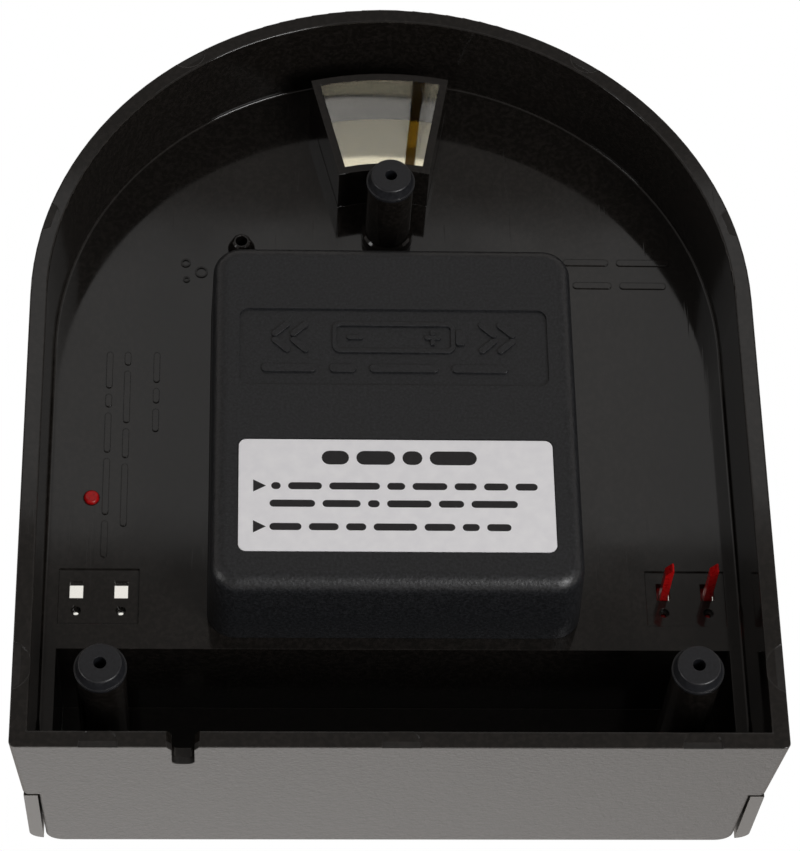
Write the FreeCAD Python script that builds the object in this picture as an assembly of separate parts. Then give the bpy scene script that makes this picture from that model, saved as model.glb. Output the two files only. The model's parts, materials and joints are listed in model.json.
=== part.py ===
"""Automatic fish feeder, standing on its three rubber feet.

Units are millimetres. +Z is up, the flat front faces -Y and the round end faces +Y. The origin is on
the ground, under the middle of the housing's outline. The food rotor turns about the centre of the
round end, which is called the arch centre below; places on the deck are measured from it.
"""
import FreeCAD
import Part
import math
import os

V = FreeCAD.Vector

# ---------------------------------------------------------------- driving dimensions: housing
width = 142.0                   # across the rim, which is also twice the round end's radius
console_run = 26.0              # how much longer than wide the housing is, which makes room for the console
height = 50.5                   # ground to the top of the front console
rim_z = 2.2                     # the rim hangs this far above the ground
rim_wall = 3.3                  # width of the rim's flat lower edge
draft = 0.05                    # inward lean of the skirt and front wall, mm per mm
skirt_height = 23.5             # rim to the step under the lid
skirt_depth = 20.0              # rim to the underside of the deck
deck = 2.2                      # thickness of the deck
front_corner_r = 1.2            # upright corners at the two ends of the front wall
wall = 2.4                      # console walls
lip_wall = 2.2                  # low lip round the rotor's well
lip_height = 2.4                # above the step
step_width = 3.0                # how far the console stands in from the skirt, for the lid's ears
console_round = 3.4             # rounding of the console's two side edges
console_front_round = 0.7       # and of its long front edge
edge_round = 0.3                # both edges of the rim
corner_round = 0.5              # where the skirt meets the deck
console_draft = 0.3             # lean of the console's sides over their height

# ---------------------------------------------------------------- driving dimensions: food rotor
rotor_gap = 0.6                 # between the rotor's flange and the well around it
rotor_flange = 2.6              # width of the low flange that the catch holds down
flange_thick = 1.5
rotor_wall = 1.6
compartments = 14
cell_inner_r = 37.6             # inner radius of the food compartments
vane_thick = 2.0
vane_turn = 96.3                # direction of the vane that crosses the drop hole, degrees from +X
rotor_lift = 0.3                # running gap under the rotor
lug_reach = 1.9                 # how far the drive lugs stand in from the rotor's inner wall
lug_width = 2.4
lug_height = 5.0

# ---------------------------------------------------------------- driving dimensions: drop hole and chute
drop_turn = 88.65               # direction of the middle of the hole
drop_half_angle = 12.1
drop_margin_in = 0.3            # how much shorter than a compartment the hole is, at each end
drop_margin_out = 0.7
chute_height = 11.6             # below the deck
chute_wall = 1.65

# ---------------------------------------------------------------- driving dimensions: lid
lid_drop = 1.6                  # the lid's top is this far below the console's top
lid_thick = 2.2
lid_skirt = 2.6
lid_round = 3.0
lid_gap = 0.8                   # over the step, and round the upper wall
lid_front_gap = 1.4             # between the lid's front edge and the console
hinge_back = 4.6                # hinge axis behind the front of the ears
hinge_below_top = 7.0           # hinge axis below the lid's top
hinge_pin_r = 1.5
hinge_pin_depth = 3.2           # how far a hinge pin goes into the console's wall
tab_width = 22.0
tab_reach = 1.3

# ---------------------------------------------------------------- driving dimensions: feet and posts
foot_inset = 16.1               # front feet, in from the housing's sides
foot_from_front = 15.8
rear_foot_gap = 14.6            # rear foot, behind the battery cover
foot_r = 4.87
foot_tip_r = 3.94
foot_height = 2.7
foot_hole_r = 1.2
foot_stem_r = 2.2
foot_stem = 5.0
post_r = 4.65
post_collar_r = 5.2
post_collar = 2.4

# ---------------------------------------------------------------- driving dimensions: air line and sockets
nozzle_x = 29.85
nozzle_gap = 4.6                # behind the battery cover
nozzle_length = 13.0
nozzle_tip_r = 1.45
nozzle_barb_r = 2.7             # the short land behind the barb's cone
nozzle_land = 1.2
nozzle_neck_r = 2.0
nozzle_bore_r = 1.2
notch_x = 39.6
notch_width = 4.15
notch_mouth = 5.4
notch_height = 8.2
ejector_depth = 0.25
socket_inset = (18.6, 10.0)     # the two spare-pin sockets each side, in from the housing's sides
socket_gap = 10.0               # prong hole, behind the front of the well
pin_span = 4.5                  # from prong to stud
prong_hole = (2.6, 3.6)
stud_hole_r = 0.95              # wide lower part of the hole
stud_r = 0.42
socket_panel = 0.4              # depth of the shallow panel round each pair of sockets
panel_margin = 3.4

# ---------------------------------------------------------------- driving dimensions: timer
dial_gap = 0.7                  # between the dial and the ends of the drive lugs
dial_r = 15.4
dial_groove = 0.6
pin_seat = 3.4                  # prong sockets, in from the dial's edge
arbor_r = 3.0
fit = 0.05                      # radial clearance of a shaft in its hole
case_size = 56.0
case_wall = 1.5
case_depth = 15.6
tray_margin = 2.0               # how far the trough stands out beyond the case at each side
tray_depth = 16.0
cell_r = 7.15
cell_length = 49.2
module = 0.35
wheel_teeth = 60
pinion_teeth = 10
wheel_thick = 1.2
train_turns = (210.0, 322.0, 0.0)   # directions from day wheel to second, to third wheel, to motor
coil_x = 18.8
coil_length = 22.0
coil_r = 3.4

# ---------------------------------------------------------------- driving dimensions: cover and small red parts
cover_side_gap = 5.9            # from the trough to the cover's outside
cover_end_gap = 2.9             # from the movement to the cover's ends
cover_wall = 2.0
cover_lean = 0.7
cover_corner_r = 5.5
cover_round = 3.2
rib_thick = 1.2
rib_height = 2.0
sign_x = 30.05
sign_y = (-20.3, -2.9)          # recessed panel
label_x = 30.0
label_y = (-56.7, -32.5)
label_thick = 0.3
recess = 0.5
prong_width = 1.5
prong_front = 1.6               # front face of a prong, ahead of the middle of its hole
prong_depth = 1.75
prong_length = 13.7
pin_head = 3.0
pin_tip = 1.9                   # how much longer a prong is on one side
stud_length = 0.3
beak_reach = 4.6
peg_gap = 4.2                   # catch's peg, outside the rotor
peg_turn = -30.45               # its direction, degrees from +X
peg_r = 1.5
catch_hub_r = 3.0
catch_reach = 4.3
catch_thick = 2.0

# ---------------------------------------------------------------- derived places
half = width / 2.0
length = width + console_run
front = -length / 2.0
arch_y = length / 2.0 - half
deck_z = rim_z + skirt_depth
deck_top = deck_z + deck
step_z = rim_z + skirt_height
lid_top = height - lid_drop
lid_in = lid_top - lid_thick
shoulder = half - draft * skirt_height      # skirt's half width at the step
console_x = shoulder - step_width
lid_x = shoulder - 0.2
lid_inner = lid_x - lid_skirt
lip_out = lid_inner - 0.3                   # outside of the lip, inside the lid's skirt
well_in = lip_out - lip_wall
rotor_r = well_in - rotor_gap
cell_outer_r = rotor_r - rotor_flange - rotor_wall
rotor_in = cell_inner_r - rotor_wall
rotor_z = deck_top + rotor_lift
rotor_top = lid_in - 0.8
console_rear = arch_y - well_in - 0.4       # back face of the console, just clear of the rotor
pocket_rear = console_rear - wall
lid_front = console_rear + lid_front_gap
hinge_y = front + draft * (step_z - rim_z) + hinge_back
hinge_z = lid_top - hinge_below_top
foot_x = half - foot_inset
tray_width = case_size + 2 * tray_margin
dial_y = dial_r + dial_gap + lug_reach - rotor_in           # these places are from the arch centre
pin_seat_r = dial_r - pin_seat
cover_half_width = tray_width / 2.0 + cover_side_gap
cover_front = dial_y - case_size / 2.0 - tray_depth - cover_end_gap
cover_rear = dial_y + case_size / 2.0 + cover_end_gap
nozzle_y = cover_rear + nozzle_gap
rear_foot_y = cover_rear + rear_foot_gap
socket_x = (half - socket_inset[0], half - socket_inset[1])
prong_y = socket_gap - well_in
stud_y = prong_y - pin_span
peg_x = (rotor_r + peg_gap) * math.cos(math.radians(peg_turn))
peg_y = (rotor_r + peg_gap) * math.sin(math.radians(peg_turn))
drop_in_r = cell_inner_r + drop_margin_in
drop_out_r = cell_outer_r - drop_margin_out
foot_y = front + foot_from_front
rear_y = arch_y + rear_foot_y
dial_cy = arch_y + dial_y
dial_z = deck_top + 0.4
dial_top = dial_z + prong_length + 0.4
case_top = deck_z - 0.1
case_bottom = case_top - case_depth
train_distance = module * (wheel_teeth + pinion_teeth) / 2.0

shapes = {}


# ---------------------------------------------------------------- shape helpers
def box(x0, x1, y0, y1, z0, z1):
    return Part.makeBox(x1 - x0, y1 - y0, z1 - z0, V(x0, y0, z0))


def cyl(r, z0, z1, x=0.0, y=0.0):
    return Part.makeCylinder(r, z1 - z0, V(x, y, z0))


def cone(r0, r1, z0, z1, x=0.0, y=0.0):
    return Part.makeCone(r0, r1, z1 - z0, V(x, y, z0))


def rod_x(r, x0, x1, y, z):
    return Part.makeCylinder(r, x1 - x0, V(x0, y, z), V(1, 0, 0))


def rod_y(r, y0, y1, x, z):
    return Part.makeCylinder(r, y1 - y0, V(x, y0, z), V(0, 1, 0))


def fuse(solids):
    joined = solids[0].fuse(solids[1:]) if len(solids) > 1 else solids[0]
    return joined.removeSplitter()


def tapered(wire_low, wire_high):
    return Part.makeLoft([wire_low, wire_high], True, True)


def arch_wire(half_width, y_front, z, corner=0.0):
    """The housing's outline: a half circle about the arch centre, two sides and a flat front."""
    w = half_width
    s = corner * (1.0 - math.sqrt(0.5))
    edges = [Part.LineSegment(V(w, arch_y, z), V(w, y_front + corner, z)).toShape()]
    if corner:
        edges.append(Part.Arc(V(w, y_front + corner, z), V(w - s, y_front + s, z),
                              V(w - corner, y_front, z)).toShape())
    edges.append(Part.LineSegment(V(w - corner, y_front, z), V(-w + corner, y_front, z)).toShape())
    if corner:
        edges.append(Part.Arc(V(-w + corner, y_front, z), V(-w + s, y_front + s, z),
                              V(-w, y_front + corner, z)).toShape())
    edges.append(Part.LineSegment(V(-w, y_front + corner, z), V(-w, arch_y, z)).toShape())
    edges.append(Part.Arc(V(-w, arch_y, z), V(0, arch_y + w, z), V(w, arch_y, z)).toShape())
    return Part.Wire(edges)


def arch_block(w0, y0, z0, w1, y1, z1, corner=0.0):
    return tapered(arch_wire(w0, y0, z0, corner), arch_wire(w1, y1, z1, corner))


def round_rect(x0, x1, y0, y1, z, r):
    """A rectangle with round corners, as a wire at height z."""
    s = r * (1.0 - math.sqrt(0.5))
    edges = []
    corners = ((x1, y0, -1, 1), (x1, y1, -1, -1), (x0, y1, 1, -1), (x0, y0, 1, 1))
    arcs = []
    for i, (x, y, dx, dy) in enumerate(corners):
        on_x = V(x + dx * r, y, z)
        on_y = V(x, y + dy * r, z)
        middle = V(x + dx * s, y + dy * s, z)
        arcs.append((on_x, middle, on_y) if i % 2 == 0 else (on_y, middle, on_x))
    for i, (start, middle, end) in enumerate(arcs):
        edges.append(Part.Arc(start, middle, end).toShape())
        edges.append(Part.LineSegment(end, arcs[(i + 1) % 4][0]).toShape())
    return Part.Wire(edges)


def slab(wire, thick):
    return Part.Face(wire).extrude(V(0, 0, thick))


def polar(r, degrees, z=0.0, cx=0.0, cy=0.0):
    a = math.radians(degrees)
    return V(cx + r * math.cos(a), cy + r * math.sin(a), z)


def sector(r0, r1, turn, half_angle, z0, z1, side=0.0):
    """Part of a ring about the arch centre. With side, its straight sides move outwards by that much."""
    def corner(r, sign):
        widen = math.degrees(math.asin(side / r)) if side else 0.0
        return polar(r, turn + sign * (half_angle + widen), z0, 0.0, arch_y)
    inner_mid = polar(r0, turn, z0, 0.0, arch_y)
    outer_mid = polar(r1, turn, z0, 0.0, arch_y)
    edges = [Part.Arc(corner(r0, -1), inner_mid, corner(r0, 1)).toShape(),
             Part.LineSegment(corner(r0, 1), corner(r1, 1)).toShape(),
             Part.Arc(corner(r1, 1), outer_mid, corner(r1, -1)).toShape(),
             Part.LineSegment(corner(r1, -1), corner(r0, -1)).toShape()]
    return slab(Part.Wire(edges), z1 - z0)


def ring(r0, r1, z0, z1, x=0.0, y=0.0):
    return cyl(r1, z0, z1, x, y).cut(cyl(r0, z0 - 1.0, z1 + 1.0, x, y))


def flat_at(edge, z):
    """True for a level edge at height z."""
    return abs(edge.BoundBox.ZMin - z) < 0.02 and abs(edge.BoundBox.ZMax - z) < 0.02


def fillet_where(shape, r, wanted):
    edges = [e for e in shape.Edges if wanted(e)]
    return shape.makeFillet(r, edges)


def gear(teeth, z0, z1, x, y, phase, slim=0.80):
    """A spur gear with involute flanks and thin teeth; phase is the direction of one tooth, in radians."""
    pitch_r = module * teeth / 2.0
    base_r = pitch_r * math.cos(math.radians(20.0))
    tip_r = pitch_r + 0.85 * module
    root_r = pitch_r - 1.15 * module
    involute = math.tan(math.radians(20.0)) - math.radians(20.0)

    def half_angle(r):
        a = math.acos(min(1.0, base_r / r))
        return slim * math.pi / (2.0 * teeth) + involute - (math.tan(a) - a)
    foot_angle = min(half_angle(max(base_r, root_r)), 0.78 * math.pi / teeth)
    levels = [(root_r, foot_angle)]
    start = max(base_r, root_r)
    for k in range(1, 4):
        r = start + (tip_r - start) * k / 3.0
        levels.append((r, half_angle(r)))
    points = []
    for i in range(teeth):
        centre = phase + 2.0 * math.pi * i / teeth
        for r, a in levels:
            points.append(V(x + r * math.cos(centre - a), y + r * math.sin(centre - a), z0))
        for r, a in reversed(levels):
            points.append(V(x + r * math.cos(centre + a), y + r * math.sin(centre + a), z0))
    points.append(points[0])
    return slab(Part.makePolygon(points), z1 - z0)


# ---------------------------------------------------------------- housing
def make_skirt():
    """The deep leaning wall round the underside, with the deck across it."""
    rise = step_z - rim_z
    body = arch_block(half, front, rim_z, shoulder, front + draft * rise, step_z, front_corner_r)
    inside = arch_block(half - rim_wall, front + rim_wall, rim_z - 0.01,
                        half - rim_wall - 0.5, front + rim_wall + 0.8, deck_z)
    well = arch_block(well_in, console_rear, deck_top, well_in, console_rear, step_z + 1.0)
    skirt = body.cut(inside)
    skirt = fillet_where(skirt, edge_round, lambda e: flat_at(e, rim_z))
    skirt = fillet_where(skirt, corner_round, lambda e: flat_at(e, deck_z))
    return skirt.cut(well)


def make_console():
    """The tall hollow block across the front; it is narrower than the skirt to leave room for the lid's ears."""
    low = step_z - 0.6
    y_low = front + draft * (low - rim_z)
    y_top = front + draft * (height - rim_z)

    def outline(x, y, z):
        return Part.makePolygon([V(-x, y, z), V(x, y, z), V(x, console_rear, z),
                                 V(-x, console_rear, z), V(-x, y, z)])
    block = tapered(outline(console_x, y_low, low), outline(console_x - console_draft, y_top, height))

    def side_top_edge(e):
        at_top = all(abs(v.Point.z - height) < 1e-3 for v in e.Vertexes)
        return at_top and abs(e.CenterOfMass.x) > 1.0
    block = fillet_where(block, console_round, side_top_edge)
    return fillet_where(block, console_front_round, front_top_edge)


def front_top_edge(e):
    """The console's top front edge, with the curved ends that its rounded sides give it."""
    box_ = e.BoundBox
    return box_.ZMax > height - console_round - 0.1 and box_.YMax < front + draft * height + 0.1


def make_pocket():
    """Hollow of the console, open to the underside of the skirt."""
    y_low = front + rim_wall + 0.8
    y_top = front + draft * (height - rim_z) + wall + 0.6
    x = console_x - wall

    def outline(y, z):
        return Part.makePolygon([V(-x, y, z), V(x, y, z), V(x, pocket_rear, z),
                                 V(-x, pocket_rear, z), V(-x, y, z)])
    return tapered(outline(y_low, deck_z - 0.02), outline(y_top, height - wall))


def make_lip():
    """The low lip round the rotor's well, just inside the lid's skirt."""
    top = step_z + lip_height
    outer = arch_block(lip_out, console_rear - 0.5, step_z - 0.1, lip_out, console_rear - 0.5, top)
    inner = arch_block(well_in, console_rear - 1.0, step_z - 1.0, well_in, console_rear - 1.0, top + 1.0)
    return outer.cut(inner)


def make_chute():
    z0 = deck_z - chute_height
    return sector(drop_in_r - chute_wall, drop_out_r + chute_wall, drop_turn, drop_half_angle,
                  z0, deck_z + 0.1, chute_wall)


def make_nozzle():
    """Barbed spigot for a 4 mm air line, hanging from the deck."""
    tip = deck_z - nozzle_length
    profile = [(0.0, deck_z + 0.1), (nozzle_neck_r + 0.9, deck_z + 0.1), (nozzle_neck_r + 0.9, deck_z - 1.6),
               (nozzle_neck_r, deck_z - 2.6), (nozzle_neck_r, tip + 4.4), (nozzle_barb_r, tip + 3.8),
               (nozzle_barb_r, tip + 3.8 - nozzle_land), (nozzle_tip_r + 0.35, tip + 0.3),
               (nozzle_tip_r, tip), (0.0, tip)]
    x, y = nozzle_x, arch_y + nozzle_y
    points = [V(x + r, y, z) for r, z in profile]
    face = Part.Face(Part.makePolygon(points + [points[0]]))
    return face.revolve(V(x, y, 0), V(0, 0, 1), 360)


def post_places():
    return ((-foot_x, foot_y, height - wall + 0.1), (foot_x, foot_y, height - wall + 0.1),
            (0.0, rear_y, deck_z + 0.1))


def make_posts():
    posts = []
    for x, y, top in post_places():
        posts.append(cyl(post_r, foot_height, top, x, y))
    posts.append(cyl(post_collar_r, deck_z - post_collar, deck_z + 0.1, 0.0, rear_y))
    posts.append(cone(post_r, post_collar_r, deck_z - post_collar - 0.5, deck_z - post_collar, 0.0, rear_y))
    return posts


def make_notch():
    """U-shaped way out for the air line, cut in the front rim, with a wider mouth."""
    depth = rim_wall + 2.0
    y0 = front - 1.0
    y1 = front + depth
    top = rim_z + notch_height
    r = 1.3
    slot = box(notch_x - notch_width / 2, notch_x + notch_width / 2, y0, y1, rim_z - 1.0, top)
    along = [e for e in slot.Edges if abs(e.CenterOfMass.z - top) < 1e-3 and e.Length > depth]
    slot = slot.makeFillet(r, along)
    mouth = Part.makePolygon([V(notch_x - notch_mouth / 2 - 1.0, y0, rim_z - 1.0),
                              V(notch_x + notch_mouth / 2 + 1.0, y0, rim_z - 1.0),
                              V(notch_x + notch_width / 2 - 0.01, y0, rim_z + 1.6),
                              V(notch_x - notch_width / 2 + 0.01, y0, rim_z + 1.6),
                              V(notch_x - notch_mouth / 2 - 1.0, y0, rim_z - 1.0)])
    return slot.fuse(Part.Face(mouth).extrude(V(0, y1 - y0, 0)))


def ejector_cuts():
    """Shallow round marks of the mould's ejector pins along the rim's lower edge."""
    marks = [(x, front + 0.3, 3.6) for x in (-foot_x, 0.0, foot_x)]
    marks += [(side * (half + 1.7), arch_y - 80.7, 5.2) for side in (-1, 1)]
    for turn in (15.0, 55.0, 125.0, 165.0):
        at = polar(half + 1.0, turn, 0, 0, arch_y)
        marks.append((at.x, at.y, 3.6))
    return [cyl(r, rim_z - 1, rim_z + ejector_depth, x, y) for x, y, r in marks]


def socket_cuts():
    """Both pairs of spare-pin sockets, each in its shallow panel on the underside of the deck."""
    cuts = []
    for side in (-1, 1):
        for sx in socket_x:
            x = side * sx
            y = arch_y + prong_y
            cuts.append(box(x - prong_hole[0] / 2, x + prong_hole[0] / 2, y - prong_hole[1] / 2,
                            y + prong_hole[1] / 2, deck_z - 1, deck_top + 1))
            cuts.append(cyl(stud_hole_r, deck_z - 1, deck_top - 0.8, x, arch_y + stud_y))
            cuts.append(cyl(stud_r + 0.1, deck_z, deck_top + 1, x, arch_y + stud_y))
        x0 = min(side * socket_x[0], side * socket_x[1]) - panel_margin
        x1 = max(side * socket_x[0], side * socket_x[1]) + panel_margin
        cuts.append(box(x0, x1, arch_y + stud_y - 3.0, arch_y + prong_y + 4.4, deck_z - 1,
                        deck_z + socket_panel))
    return cuts


def make_cover_ribs():
    """A rib down each side of the movement, which the battery cover snaps over."""
    outside = cover_half_width - cover_wall - 0.15
    ribs = []
    for x0 in (-outside, outside - rib_thick):
        ribs.append(box(x0, x0 + rib_thick, arch_y + cover_front + 12.0, arch_y + cover_rear - 12.0,
                        deck_z - rib_height, deck_z + 0.1))
    return ribs


def hinge_rods(r, outer, inner):
    """A rod along the hinge axis at each side, between two distances from the middle."""
    return [rod_x(r, inner, outer, hinge_y, hinge_z), rod_x(r, -outer, -inner, hinge_y, hinge_z)]


def make_base_shell():
    boss = cyl(arbor_r + 2.0, deck_top - 0.1, deck_top + 0.2, 0.0, dial_cy)
    body = make_skirt().fuse([make_console(), make_lip()]).cut(make_pocket())
    pin_end = console_x - console_draft - hinge_pin_depth
    additions = [make_chute(), make_nozzle(), boss] + make_cover_ribs() + make_posts()
    additions += hinge_rods(hinge_pin_r + 1.5, console_x - wall + 0.2, pin_end - 1.3)
    body = body.fuse(additions)
    cuts = [sector(drop_in_r, drop_out_r, drop_turn, drop_half_angle, rim_z, deck_top + 1.0),
            cyl(nozzle_bore_r, rim_z, deck_top + 1, nozzle_x, arch_y + nozzle_y),
            cyl(arbor_r + fit, deck_z - 1, deck_top + 1, 0.0, dial_cy),
            cyl(peg_r + fit, deck_z - 1, deck_top + 1, peg_x, arch_y + peg_y),
            make_notch()]
    for x, y, top in post_places():
        cuts.append(cyl(foot_stem_r + fit, foot_height - 1, foot_height + foot_stem + 0.5, x, y))
    cuts += hinge_rods(hinge_pin_r + 0.02, half, pin_end)
    return body.cut(cuts + socket_cuts() + ejector_cuts()).removeSplitter()


shapes["base_shell"] = make_base_shell()


def make_foot(x, y):
    """Rubber foot: a cone on a stem that plugs into the post, with a hole through its middle."""
    pad = cone(foot_tip_r, foot_r - 0.25, 0.0, foot_height - 0.6, x, y)
    pad = fillet_where(pad, 0.4, lambda e: flat_at(e, 0.0) and e.Length > foot_tip_r)
    brim = cyl(foot_r, foot_height - 0.6, foot_height, x, y)
    stem = cyl(foot_stem_r, foot_height - 0.1, foot_height + foot_stem, x, y)
    return fuse([pad, brim, stem]).cut(cyl(foot_hole_r, -1, foot_height + foot_stem + 1, x, y))


for foot_name, place in zip(("foot_left", "foot_right", "foot_rear"), post_places()):
    shapes[foot_name] = make_foot(place[0], place[1])


# ---------------------------------------------------------------- lid and hinge
def make_lid():
    """Clear lid: a flat top with a skirt, whose two ends run forward as ears beside the console."""
    z0 = step_z + lid_gap
    y0 = front + draft * (z0 - rim_z)
    y1 = front + draft * (lid_top - rim_z)
    outer = arch_block(lid_x, y0, z0, lid_x, y1, lid_top)

    def top_edge(e):
        return all(abs(v.Point.z - lid_top) < 1e-3 for v in e.Vertexes) and e.CenterOfMass.y > front + 5
    outer = fillet_where(outer, lid_round, top_edge)
    inner = arch_block(lid_inner, front - 5, z0 - 1, lid_inner, front - 5, lid_in)
    over_console = box(-lid_inner, lid_inner, front - 5, lid_front, lid_in - 1, lid_top + 1)
    tab = box(-tab_width / 2, tab_width / 2, arch_y + lid_x - 2.0, arch_y + lid_x + tab_reach,
              z0, z0 + 2.4).common(cyl(lid_x + tab_reach, z0, z0 + 2.4, 0, arch_y))
    tab = tab.cut(cyl(lid_inner + 0.5, z0 - 1, z0 + 3, 0, arch_y))
    lid = outer.cut([inner, over_console]).fuse(tab)
    return lid.cut(rod_x(hinge_pin_r + fit, -half, half, hinge_y, hinge_z)).removeSplitter()


shapes["lid"] = make_lid()


def make_hinge_pins():
    """Two headed pins, pressed into the console through the lid's ears."""
    pins = []
    for side in (-1, 1):
        root = side * (console_x - console_draft - hinge_pin_depth + 0.2)
        tip = side * lid_x
        pins.append(rod_x(hinge_pin_r, min(root, tip), max(root, tip), hinge_y, hinge_z))
    return Part.makeCompound(pins)


shapes["hinge_pins"] = make_hinge_pins()


# ---------------------------------------------------------------- food rotor and its catch
def make_food_rotor():
    """Ring of open-bottomed compartments between two walls, with drive lugs inside and a low flange outside."""
    pieces = [ring(rotor_in, cell_inner_r, rotor_z, rotor_top, 0, arch_y),
              ring(cell_outer_r, cell_outer_r + rotor_wall, rotor_z, rotor_top, 0, arch_y),
              ring(cell_outer_r + rotor_wall - 0.1, rotor_r, rotor_z, rotor_z + flange_thick, 0, arch_y)]
    step = 360.0 / compartments
    for i in range(compartments):
        vane = box(cell_inner_r - 0.2, cell_outer_r + 0.2, -vane_thick / 2, vane_thick / 2, rotor_z, rotor_top)
        vane.rotate(V(0, 0, 0), V(0, 0, 1), vane_turn + i * step)
        vane.translate(V(0, arch_y, 0))
        pieces.append(vane)
        lug = box(rotor_in - lug_reach, rotor_in + 0.3, -lug_width / 2, lug_width / 2,
                  rotor_top - lug_height, rotor_top)
        lug.rotate(V(0, 0, 0), V(0, 0, 1), -90.0 + (i + 0.5) * step)
        lug.translate(V(0, arch_y, 0))
        pieces.append(lug)
    return fuse(pieces)


shapes["food_rotor"] = make_food_rotor()


def make_rotor_catch():
    """Swivel catch: a peg through the deck, a hub and a finger that reaches over the rotor's flange."""
    x, y = peg_x, arch_y + peg_y
    low = deck_z - 0.8
    finger_z = rotor_z + flange_thick + 0.35
    peg = cyl(peg_r, low, deck_top + 0.5, x, y)
    peg = fillet_where(peg, 0.5, lambda e: abs(e.CenterOfMass.z - low) < 1e-3 and e.Length > peg_r * 6)
    hub = cyl(catch_hub_r, deck_top + 0.15, finger_z + catch_thick, x, y)
    inward = math.degrees(math.atan2(-peg_y, -peg_x))
    finger = box(0, catch_reach, -1.8, 1.8, finger_z, finger_z + catch_thick)
    finger = fuse([finger, cyl(1.8, finger_z, finger_z + catch_thick, catch_reach, 0)])
    grip = box(-2.2, 2.6, -0.8, 0.8, finger_z + catch_thick - 0.1, finger_z + catch_thick + 2.2)
    arm = fuse([finger, grip])
    arm.rotate(V(0, 0, 0), V(0, 0, 1), inward)
    arm.translate(V(x, y, 0))
    return fuse([peg, hub, arm])


shapes["rotor_catch"] = make_rotor_catch()


# ---------------------------------------------------------------- trip pins
def make_trip_pin(x, y, z, turn):
    """A trip pin standing at x, y: a prong with a slanted tip, a short stud ahead of it and a beaked head."""
    low = z - prong_length
    near, far = -prong_front, prong_depth - prong_front
    half_w = prong_width / 2
    profile = [V(near, -half_w, z + 0.1), V(near, -half_w, low + pin_tip), V(near, half_w - 0.3, low),
               V(near, half_w, low + 0.2), V(near, half_w, z + 0.1), V(near, -half_w, z + 0.1)]
    shank = Part.Face(Part.makePolygon(profile)).extrude(V(far - near, 0, 0))
    stud = cyl(stud_r, z - stud_length, z + 0.1, -pin_span, 0)
    end = far + 0.4
    bar = box(-pin_span - 1.6, end, -1.25, 1.25, z, z + pin_head)
    beak = Part.Face(Part.makePolygon([V(end - 0.1, -1.25, z), V(end + beak_reach, -0.5, z),
                                       V(end + beak_reach, 0.5, z), V(end - 0.1, 1.25, z),
                                       V(end - 0.1, -1.25, z)])).extrude(V(0, 0, pin_head))
    pin = fuse([shank, stud, bar, beak])
    pin.rotate(V(0, 0, 0), V(0, 0, 1), turn)
    pin.translate(V(x, y, 0))
    return pin


for pin_name, sx in (("spare_pin_inner", socket_x[0]), ("spare_pin_outer", socket_x[1])):
    shapes[pin_name] = make_trip_pin(-sx, arch_y + prong_y, deck_top + 0.1, 90.0)


# ---------------------------------------------------------------- timer dial
fitted_turns = (0.0, 180.0)                 # directions of the two fitted trip pins


def make_timer_dial():
    """Drum with four pairs of sockets for trip pins, on the timer's arbor."""
    drum = cyl(dial_r, dial_z, dial_top, 0, dial_cy)
    drum = drum.cut(ring(dial_r - dial_groove, dial_r + 1, dial_top - 3.4, dial_top - 2.2, 0, dial_cy))
    knob = cyl(5.2, dial_top - 0.1, dial_top + 1.6, 0, dial_cy)
    slot = box(-4.2, 4.2, dial_cy - 0.8, dial_cy + 0.8, dial_top + 0.6, dial_top + 2)
    cuts = [cyl(arbor_r + 0.02, dial_z - 1, dial_z + 8.0, 0, dial_cy), slot]
    for i in range(4):
        turn = fitted_turns[0] + 90.0 * i
        hole = box(-prong_hole[1] / 2, prong_hole[1] / 2, -prong_hole[0] / 2, prong_hole[0] / 2,
                   dial_z - 1, dial_top + 1)
        hole.rotate(V(0, 0, 0), V(0, 0, 1), turn)
        at = polar(pin_seat_r, turn, 0, 0, dial_cy)
        hole.translate(V(at.x, at.y, 0))
        cuts.append(hole)
        at = polar(pin_seat_r - pin_span, turn, 0, 0, dial_cy)
        cuts.append(cyl(stud_hole_r, dial_top - 2.5, dial_top + 1, at.x, at.y))
    hours = 24
    for i in range(hours):
        tick = box(dial_r - 1.6, dial_r - 0.3, -0.15, 0.15, dial_top - 0.25, dial_top + 1)
        tick.rotate(V(0, 0, 0), V(0, 0, 1), i * 360.0 / hours)
        tick.translate(V(0, dial_cy, 0))
        cuts.append(tick)
    return fuse([drum, knob]).cut(cuts)


shapes["timer_dial"] = make_timer_dial()
for pin_name, turn in (("trip_pin_a", fitted_turns[0]), ("trip_pin_b", fitted_turns[1])):
    seat = polar(pin_seat_r, turn, 0, 0, dial_cy)
    shapes[pin_name] = make_trip_pin(seat.x, seat.y, dial_top + 0.1, turn)


# ---------------------------------------------------------------- timer movement under the deck
def gear_axes():
    """Day wheel, second wheel, third wheel and motor axes, each one mesh distance from the last."""
    places = [(0.0, dial_cy)]
    for turn in train_turns:
        step = polar(train_distance, turn, 0, places[-1][0], places[-1][1])
        places.append((step.x, step.y))
    return places


axes = gear_axes()
day_z = case_top - case_wall - 3.2
second_z = day_z - 3.2
third_z = second_z - 5.3
motor_z = third_z + 2.2
plate_top = case_bottom + case_wall
pivot_r = 0.6


def pivots():
    """Axes that turn in the plate, with the radius of their lower pivots."""
    return ((axes[0], 1.2), (axes[1], pivot_r), (axes[2], pivot_r), (axes[3], pivot_r))


def case_corners(inset):
    s = case_size / 2.0 - inset
    return [(dx * s, dial_cy + dy * s) for dx in (-1, 1) for dy in (-1, 1)]


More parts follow.
